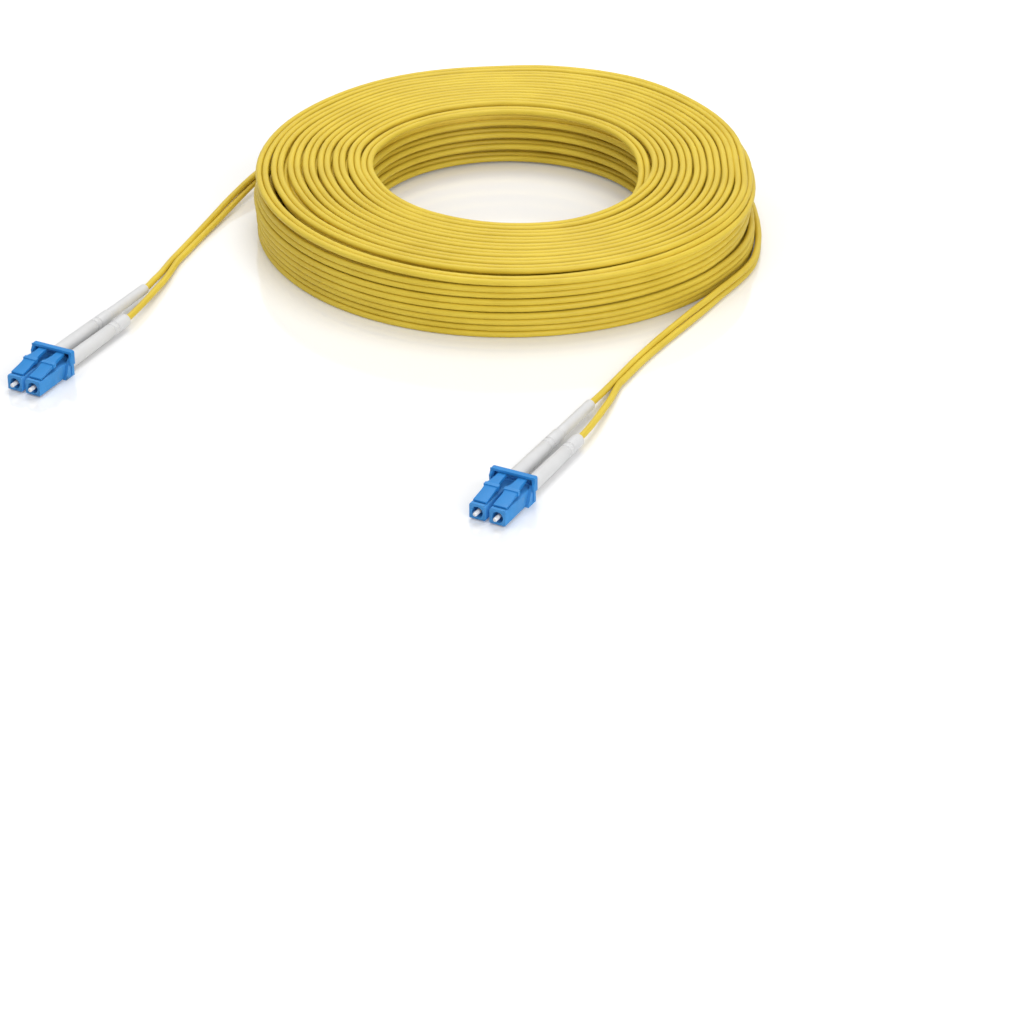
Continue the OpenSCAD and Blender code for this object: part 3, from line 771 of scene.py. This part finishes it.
def make_latch():
    """Latch lever: a block on a round root, a shoulder tab and a waisted tail."""
    latch = drawn_bar("latch", [
        (1.5, 2.05, 5.06, 5.62), (2.2, 2.05, 5.14, 5.72), (3.6, 2.03, 5.3, 5.92), (5.0, 1.98, 5.45, 6.14),
        (6.4, 1.93, 5.6, 6.46), (7.4, 1.92, 5.73, 6.74), (8.0, 1.94, 5.79, 6.92), (8.0, 2.24, 5.79, 7.26),
        (9.3, 2.24, 5.94, 7.28), (9.3, 1.86, 5.94, 7.28), (9.9, 1.68, 6.01, 7.3), (10.7, 1.5, 6.1, 7.32),
        (11.8, 1.36, 6.22, 7.35), (13.4, 1.27, 6.4, 7.4), (15.2, 1.25, 6.62, 7.44)])
    join(latch, across_rod("root", ROOT_U, ROOT_Z, ROOT_R, 3.9))
    round_edges(latch, 0.1, 3)
    return latch


def make_ferrule():
    """Ceramic ferrule with a rounded, polished tip."""
    ferrule = turned_rod("ferrule", [(-1.6, 0.36), (-1.575, 0.44), (-1.52, 0.51), (-1.43, 0.57), (-1.3, 0.612),
                                     (-1.15, 0.625), (2.6, 0.625), (2.6, 0.465), (4.9, 0.465)], sides=40)
    bpy.ops.object.mode_set(mode="EDIT")
    pick_faces(ferrule, lambda c, n: n.x < -0.9 and c.x < -1.5)
    bpy.ops.mesh.inset(thickness=0.27, depth=0.0)
    bpy.ops.mesh.inset(thickness=0.02, depth=-0.01)
    bpy.ops.object.mode_set(mode="OBJECT")
    work_alone(ferrule)
    bpy.ops.object.shade_smooth_by_angle(angle=math.radians(35))
    return ferrule


def make_spring():
    """Wound spring between the ferrule holder's collar and the rear body."""
    work_alone(None)
    # The wire's section stands upright at the winding's middle radius, and is wound about Z
    bpy.ops.mesh.primitive_circle_add(vertices=12, radius=SPRING_WIRE_R, location=(0, SPRING_R, 0),
                                      rotation=(0, math.pi / 2, 0))
    spring = bpy.context.object
    spring.name = "spring"
    bpy.ops.object.transform_apply(location=True, rotation=True, scale=True)
    winding = spring.modifiers.new("winding", "SCREW")
    winding.axis = "Z"
    winding.angle = 2 * math.pi
    winding.screw_offset = (SPRING_END - SPRING_U - 2 * SPRING_WIRE_R) / SPRING_TURNS
    winding.iterations = SPRING_TURNS
    winding.steps = 28
    winding.render_steps = 28
    bpy.ops.object.modifier_apply(modifier=winding.name)
    bpy.ops.object.mode_set(mode="EDIT")
    bpy.ops.mesh.select_all(action="SELECT")
    bpy.ops.mesh.fill_holes(sides=0)
    close_up()
    spring.data.transform(Matrix(((0, 0, 1, SPRING_U + SPRING_WIRE_R), (1, 0, 0, 0), (0, 1, 0, FIBRE_Z),
                                  (0, 0, 0, 1))))
    work_alone(spring)
    bpy.ops.object.shade_smooth_by_angle(angle=math.radians(50))
    return spring


def make_boot():
    """Round boot, tapering to the rear, with two grooves near its end."""
    def radius(u):
        return BOOT_R + (BOOT_END_R - BOOT_R) * (u - BOOT_U) / (BOOT_END - BOOT_U)

    stations = [(BOOT_U, radius(BOOT_U) - 0.12), (BOOT_U + 0.12, radius(BOOT_U)), (24.0, radius(24)),
                (33.0, radius(33))]
    for groove in BOOT_GROOVES:
        stations += [(groove - 0.3, radius(groove)), (groove - 0.2, radius(groove) - 0.06),
                     (groove - 0.14, radius(groove) - 0.19), (groove + 0.14, radius(groove) - 0.19),
                     (groove + 0.2, radius(groove) - 0.06), (groove + 0.3, radius(groove))]
    stations += [(BOOT_END - 0.4, radius(BOOT_END)), (BOOT_END - 0.15, 1.9), (BOOT_END, 1.78)]
    boot = turned_rod("boot", stations, sides=56)
    cut(boot, turned_rod("bore", [(BOOT_U - 1, 1.93), (23.45, 1.93), (23.45, 1.41), (26.45, 1.41),
                                  (26.45, STRAND_BORE_R), (BOOT_END + 1, STRAND_BORE_R)]))
    work_alone(boot)
    bpy.ops.object.shade_smooth_by_angle(angle=math.radians(40))
    return boot


def make_marker_sleeve():
    """White sleeve shrunk over the second strand behind its boot."""
    sleeve = turned_rod("marker_sleeve", [
        (BOOT_END, 1.6), (BOOT_END + 0.12, 1.7), (54, 1.69), (58, 1.66), (62, 1.65), (66, 1.62),
        (MARKER_END - 0.3, 1.6), (MARKER_END - 0.1, 1.55), (MARKER_END, 1.45)], sides=40)
    cut(sleeve, turned_rod("bore", [(BOOT_END - 1, STRAND_BORE_R), (MARKER_END + 1, STRAND_BORE_R)]))
    work_alone(sleeve)
    bpy.ops.object.shade_smooth_by_angle(angle=math.radians(40))
    return sleeve


def make_clip():
    """Cradle under the rear of both housings: floor, side walls, middle post and strap."""
    clip = block("clip", (CLIP_U, -CLIP_OUT, 0.0), (CLIP_END, CLIP_OUT, 0.48))
    bpy.ops.object.mode_set(mode="EDIT")
    for v in (-CLIP_IN, -0.825, 0.825, CLIP_IN):
        split_at(clip, (0, v, 0), (0, 1, 0))
    pick_faces(clip, lambda c, n: n.z > 0.9 and abs(c.y) < 0.8)
    push_out((0, 0, PLUG_TOP - 0.48))
    pick_faces(clip, lambda c, n: n.z > 0.9 and abs(c.y) > CLIP_IN)
    push_out((0, 0, 1.6))
    push_out((0, 0, WALL_TOP - 0.48 - 1.6))
    # The walls' front edges lean back above their feet
    pick_corners(clip, lambda c: c.x < CLIP_U + 0.1 and c.z > 5.5)
    bpy.ops.transform.translate(value=(2.2, 0, 0))
    pick_corners(clip, lambda c: c.x < CLIP_U + 0.1 and 1.9 < c.z < 2.2 and abs(c.y) > 5)
    bpy.ops.transform.translate(value=(0.8, 0, 0))
    close_up()
    join(clip, block("strap", (15.98, -CLIP_IN - 0.2, 4.95), (CLIP_END, CLIP_IN + 0.2, 5.55)))
    # Rear plate behind the press bar; in the middle, between the latch tails, it is a sheet that stands in for
    # the shade of the opening there
    join(clip, block("plate", (16.64, -6.6, 5.2), (17.06, 6.6, 7.6)))
    for side in (-1, 1):
        inner, outer = sorted((side * 5.875, side * 7))
        cut(clip, block("rib_track", (14.95, inner, 0.5), (15.85, outer, 7)))
    round_edges(clip, 0.09)
    return clip


def make_press_bar():
    """Bar over both latch tails, with ears that slide on the clip's walls."""
    bar = block("press_bar", (BAR_U, -EAR_OUT, BAR_Z), (BAR_END, EAR_OUT, BAR_TOP))
    bpy.ops.object.mode_set(mode="EDIT")
    for v in (-EAR_IN, EAR_IN):
        split_at(bar, (0, v, 0), (0, 1, 0))
    split_at(bar, (EAR_U, 0, 0), (1, 0, 0))
    pick_faces(bar, lambda c, n: n.z < -0.9 and abs(c.y) > EAR_IN and c.x > EAR_U)
    push_out((0, 0, -1.4))
    push_out((0, 0, EAR_LOW + 1.4 - BAR_Z))
    # The ears' front edges lean back towards their feet
    pick_corners(bar, lambda c: c.z < EAR_LOW + 0.1 and c.x < EAR_U + 0.1)
    bpy.ops.transform.translate(value=(0.3, 0, 0))
    # The bar's front edge is drawn back, so that the tails show in front of it
    pick_corners(bar, lambda c: c.x < BAR_U + 0.1)
    bpy.ops.transform.translate(value=(1.45, 0, 0))
    pick_corners(bar, lambda c: EAR_U - 0.1 < c.x < EAR_U + 0.1 and c.z > BAR_Z - 0.1)
    bpy.ops.transform.translate(value=(0.9, 0, 0))
    pick_edges(bar, lambda a, b: min(a.z, b.z) > BAR_TOP - 0.05 and abs(a.x - b.x) > 0.3
               and min(abs(a.y), abs(b.y)) > EAR_OUT - 0.05)
    bpy.ops.mesh.bevel(offset=0.6, segments=4, affect="EDGES")
    close_up()
    # Guide ribs inside the ears
    for side in (-1, 1):
        inner, outer = sorted((side * 5.925, side * 6.4))
        rib = block("rib", (15.0, inner, EAR_LOW), (15.8, outer, 7.7))
        join(bar, rib)
    round_edges(bar, 0.12, 3)
    return bar


def placed_copy(pattern, name, end, side, material, body, node):
    """A copy of a worked piece with its own mesh, set in its place in the model."""
    mesh = pattern.data.copy()
    mesh.name = name
    at = ENDS[end]
    v = 0 if side is None else side_v(side)
    c, s = math.cos(PLUG_TURN), math.sin(PLUG_TURN)
    mesh.transform(Matrix(((c * MM, -s * MM, 0, (at.x - s * v) * MM), (s * MM, c * MM, 0, (at.y + c * v) * MM),
                           (0, 0, MM, 0), (0, 0, 0, 1))))
    mesh.materials.clear()
    mesh.materials.append(material)
    piece = bpy.data.objects.new(name, mesh)
    bpy.context.scene.collection.objects.link(piece)
    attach(piece, body)
    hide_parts(node)
    return piece


def make_plugs(finish):
    """Both plugs, from one worked pattern of each piece."""
    patterns = {"housing": make_housing(), "latch": make_latch(), "ferrule": make_ferrule(),
                "boot": make_boot(), "marker": make_marker_sleeve(), "clip": make_clip(),
                "bar": make_press_bar(), "spring": make_spring()}
    work_alone(None)
    for end in "ab":
        for side in (1, 2):
            fibre = f"{end}{side}"
            placed_copy(patterns["housing"], f"housing_{fibre}", end, side, finish["plug"],
                        "root", f"{fibre}_housing")
            placed_copy(patterns["latch"], f"latch_{fibre}", end, side, finish["plug"],
                        f"{fibre}_latch_lever", f"{fibre}_latch")
            placed_copy(patterns["ferrule"], f"ferrule_{fibre}", end, side, finish["ceramic"],
                        f"{fibre}_floating_ferrule", f"{fibre}_ferrule")
            spring = placed_copy(patterns["spring"], f"spring_{fibre}", end, side, finish["spring"],
                                 "root", f"{fibre}_spring")
            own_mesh(spring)
            placed_copy(patterns["boot"], f"boot_{fibre}", end, side, finish["boot"],
                        "root", f"{fibre}_boot")
        placed_copy(patterns["marker"], f"marker_sleeve_{end}", end, 2, finish["boot"],
                    "root", f"{end}_marker_sleeve")
        placed_copy(patterns["clip"], f"clip_{end}", end, None, finish["clip"],
                    "root", f"{end}_clip")
        placed_copy(patterns["bar"], f"press_bar_{end}", end, None, finish["clip"],
                    f"{end}_press", f"{end}_press_bar")
    for pattern in patterns.values():
        mesh = pattern.data
        bpy.data.objects.remove(pattern, do_unlink=True)
        bpy.data.meshes.remove(mesh)


# ---------------------------------------------------------------- materials

JACKET_DEEP = (0.60, 0.43, 0.028)
JACKET_BRIGHT = (0.76, 0.58, 0.06)


def add_socket(group, name, way, kind, value=None):
    socket = group.interface.new_socket(name=name, in_out=way, socket_type=kind)
    if value is not None:
        socket.default_value = value


def make_moulding_group():
    """Moulded plastic: cloudy colour, fine grain, paler worn edges and painted shade darkening the hollows."""
    group = bpy.data.node_groups.new("moulded_surface", "ShaderNodeTree")
    add_socket(group, "Color", "INPUT", "NodeSocketColor", (0.5, 0.5, 0.5, 1))
    add_socket(group, "Worn Color", "INPUT", "NodeSocketColor", (0.8, 0.8, 0.8, 1))
    add_socket(group, "Hollow Shade Color", "INPUT", "NodeSocketColor", (0.1, 0.1, 0.1, 1))
    add_socket(group, "Wear", "INPUT", "NodeSocketFloat", 0.5)
    add_socket(group, "Cloud", "INPUT", "NodeSocketFloat", 0.06)
    add_socket(group, "Grain Scale", "INPUT", "NodeSocketFloat", 9000.0)
    add_socket(group, "Gloss", "INPUT", "NodeSocketFloat", 0.35)
    add_socket(group, "Color", "OUTPUT", "NodeSocketColor")
    add_socket(group, "Roughness", "OUTPUT", "NodeSocketFloat")
    add_socket(group, "Height", "OUTPUT", "NodeSocketFloat")
    nodes, links = group.nodes, group.links
    given, result = nodes.new("NodeGroupInput"), nodes.new("NodeGroupOutput")
    place = nodes.new("ShaderNodeTexCoord").outputs["Object"]
    cloud = noise(nodes, links, place, 260, 3)
    grain = noise(nodes, links, place, given.outputs["Grain Scale"], 2)

    # Edges that are rubbed pale, and painted shade that darkens the hollows and inner corners
    bend = nodes.new("ShaderNodeNewGeometry").outputs["Pointiness"]
    edge = map_range(nodes, links, bend, 0.53, 0.64)
    hollow_shade = map_range(nodes, links, bend, 0.47, 0.38)
    rubbed = math_node(nodes, links, "MULTIPLY", edge, given.outputs["Wear"])
    rubbed = math_node(nodes, links, "MULTIPLY", rubbed, cloud)

    tone = map_range(nodes, links, cloud, 0.3, 0.7, -0.5, 0.5)
    shift = math_node(nodes, links, "MULTIPLY", tone, given.outputs["Cloud"])
    level = math_node(nodes, links, "ADD", shift, 1.0)
    color = mix_colors(nodes, links, 1, given.outputs["Color"], level, "MULTIPLY")
    # The painted shade covers at most half of the colour in the deepest hollows
    share = math_node(nodes, links, "MULTIPLY", hollow_shade, 0.5)
    color = mix_colors(nodes, links, share, color, given.outputs["Hollow Shade Color"])
    color = mix_colors(nodes, links, rubbed, color, given.outputs["Worn Color"])
    links.new(color, result.inputs["Color"])

    rough = math_node(nodes, links, "MULTIPLY", grain, 0.14)
    rough = math_node(nodes, links, "ADD", rough, given.outputs["Gloss"])
    patches = math_node(nodes, links, "MULTIPLY", tone, 0.08)
    links.new(math_node(nodes, links, "ADD", rough, patches), result.inputs["Roughness"])
    links.new(grain, result.inputs["Height"])
    return group


def moulded_plastic(group, name, color, worn, hollow_shade, gloss, wear=0.5, cloud=0.06, grain=9000.0, bump=0.08):
    material, nodes, links, shader = new_material(name)
    surface = nodes.new("ShaderNodeGroup")
    surface.node_tree = group
    surface.inputs["Color"].default_value = (*color, 1)
    surface.inputs["Worn Color"].default_value = (*worn, 1)
    # Colour of the painted shade in the hollows
    surface.inputs["Hollow Shade Color"].default_value = (*hollow_shade, 1)
    surface.inputs["Wear"].default_value = wear
    surface.inputs["Cloud"].default_value = cloud
    surface.inputs["Grain Scale"].default_value = grain
    surface.inputs["Gloss"].default_value = gloss
    shader.inputs["Specular IOR Level"].default_value = 0.26
    links.new(surface.outputs["Color"], shader.inputs["Base Color"])
    links.new(surface.outputs["Roughness"], shader.inputs["Roughness"])
    add_relief(nodes, links, shader, surface.outputs["Height"], bump, 0.00005)
    return material


def jacket_plastic():
    """Yellow cord jacket: faint streaks along it, cloudy tone and a soft uneven sheen."""
    material, nodes, links, shader = new_material("yellow_jacket")
    along = nodes.new("ShaderNodeUVMap")
    along.uv_map = "along_cord"
    stretch = nodes.new("ShaderNodeMapping")
    stretch.inputs["Scale"].default_value = (14, 0.25, 1)
    links.new(along.outputs["UV"], stretch.inputs["Vector"])
    streaks = noise(nodes, links, stretch.outputs["Vector"], 1.4, 3)
    place = nodes.new("ShaderNodeTexCoord").outputs["Object"]
    cloud = noise(nodes, links, place, 55, 3)
    grain = noise(nodes, links, place, 6000, 2)

    tone = nodes.new("ShaderNodeValToRGB")
    tone.color_ramp.elements[0].position = 0.3
    tone.color_ramp.elements[0].color = (*JACKET_DEEP, 1)
    tone.color_ramp.elements[1].position = 0.72
    tone.color_ramp.elements[1].color = (*JACKET_BRIGHT, 1)
    blend = math_node(nodes, links, "ADD", math_node(nodes, links, "MULTIPLY", streaks, 0.45),
                      math_node(nodes, links, "MULTIPLY", cloud, 0.55))
    links.new(blend, tone.inputs["Fac"])
    links.new(tone.outputs["Color"], shader.inputs["Base Color"])

    sheen = math_node(nodes, links, "ADD", math_node(nodes, links, "MULTIPLY", cloud, 0.16), 0.38)
    speckle = math_node(nodes, links, "MULTIPLY", grain, 0.08)
    links.new(math_node(nodes, links, "ADD", sheen, speckle), shader.inputs["Roughness"])
    shader.inputs["Specular IOR Level"].default_value = 0.38
    add_relief(nodes, links, shader, math_node(nodes, links, "ADD", grain, streaks), 0.1, 0.00004)
    return material


def drawn_metal(name, color, roughness, scale=(200, 4000, 4000)):
    """Metal with fine marks along it."""
    material, nodes, links, shader = new_material(name)
    shader.inputs["Metallic"].default_value = 1
    place = nodes.new("ShaderNodeTexCoord")
    turn = nodes.new("ShaderNodeMapping")
    turn.inputs["Rotation"].default_value = (0, 0, -PLUG_TURN)
    turn.inputs["Scale"].default_value = scale
    links.new(place.outputs["Object"], turn.inputs["Vector"])
    marks = noise(nodes, links, turn.outputs["Vector"], 1, 3)
    tone = nodes.new("ShaderNodeValToRGB")
    tone.color_ramp.elements[0].color = (*(0.8 * c for c in color), 1)
    tone.color_ramp.elements[1].color = (*color, 1)
    links.new(marks, tone.inputs["Fac"])
    links.new(tone.outputs["Color"], shader.inputs["Base Color"])
    rough = math_node(nodes, links, "MULTIPLY", marks, 0.15)
    links.new(math_node(nodes, links, "ADD", rough, roughness), shader.inputs["Roughness"])
    return material


# ---------------------------------------------------------------- the whole model

make_camera()
make_floor()
make_sky()
make_lamps()
make_cords(jacket_plastic())

moulding = make_moulding_group()
# The third colour of each moulded plastic, here and below, is the painted shade in its hollows
finish = {
    "plug": moulded_plastic(moulding, "blue_plug_plastic", (0.021, 0.222, 0.575), (0.1, 0.33, 0.68),
                            (0.008, 0.08, 0.28), 0.42, wear=0.7),
    "clip": moulded_plastic(moulding, "blue_clip_plastic", (0.022, 0.227, 0.585), (0.1, 0.34, 0.69),
                            (0.008, 0.08, 0.28), 0.44, wear=0.8, grain=7000.0),
    "boot": moulded_plastic(moulding, "white_boot_plastic", (0.64, 0.64, 0.64), (0.72, 0.72, 0.72),
                            (0.5, 0.51, 0.53), 0.36, wear=0.3, cloud=0.05, grain=5000.0),
    "ceramic": moulded_plastic(moulding, "ferrule_ceramic", (0.78, 0.79, 0.8), (0.9, 0.9, 0.9),
                               (0.5, 0.5, 0.5), 0.06, wear=0.3, cloud=0.03, grain=15000.0, bump=0.02),
    "spring": drawn_metal("spring_wire", (0.6, 0.6, 0.62), 0.3, (4000, 300, 300)),
}
make_plugs(finish)

hidden_finish = {
    "_ferrule_holder": drawn_metal("holder_metal", (0.72, 0.72, 0.7), 0.24),
    "_rear_body": drawn_metal("rear_body_metal", (0.66, 0.66, 0.66), 0.3),
    "_crimp_sleeve": drawn_metal("crimp_sleeve_metal", (0.7, 0.68, 0.6), 0.34),
    "_fibre": moulded_plastic(moulding, "fibre_buffer", (0.8, 0.78, 0.7), (0.85, 0.85, 0.85), (0.6, 0.6, 0.55),
                              0.4, wear=0.2, grain=8000.0),
}
for node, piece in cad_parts.items():
    for ending, material in hidden_finish.items():
        if node.endswith(ending):
            piece.data.materials.clear()
            piece.data.materials.append(material)
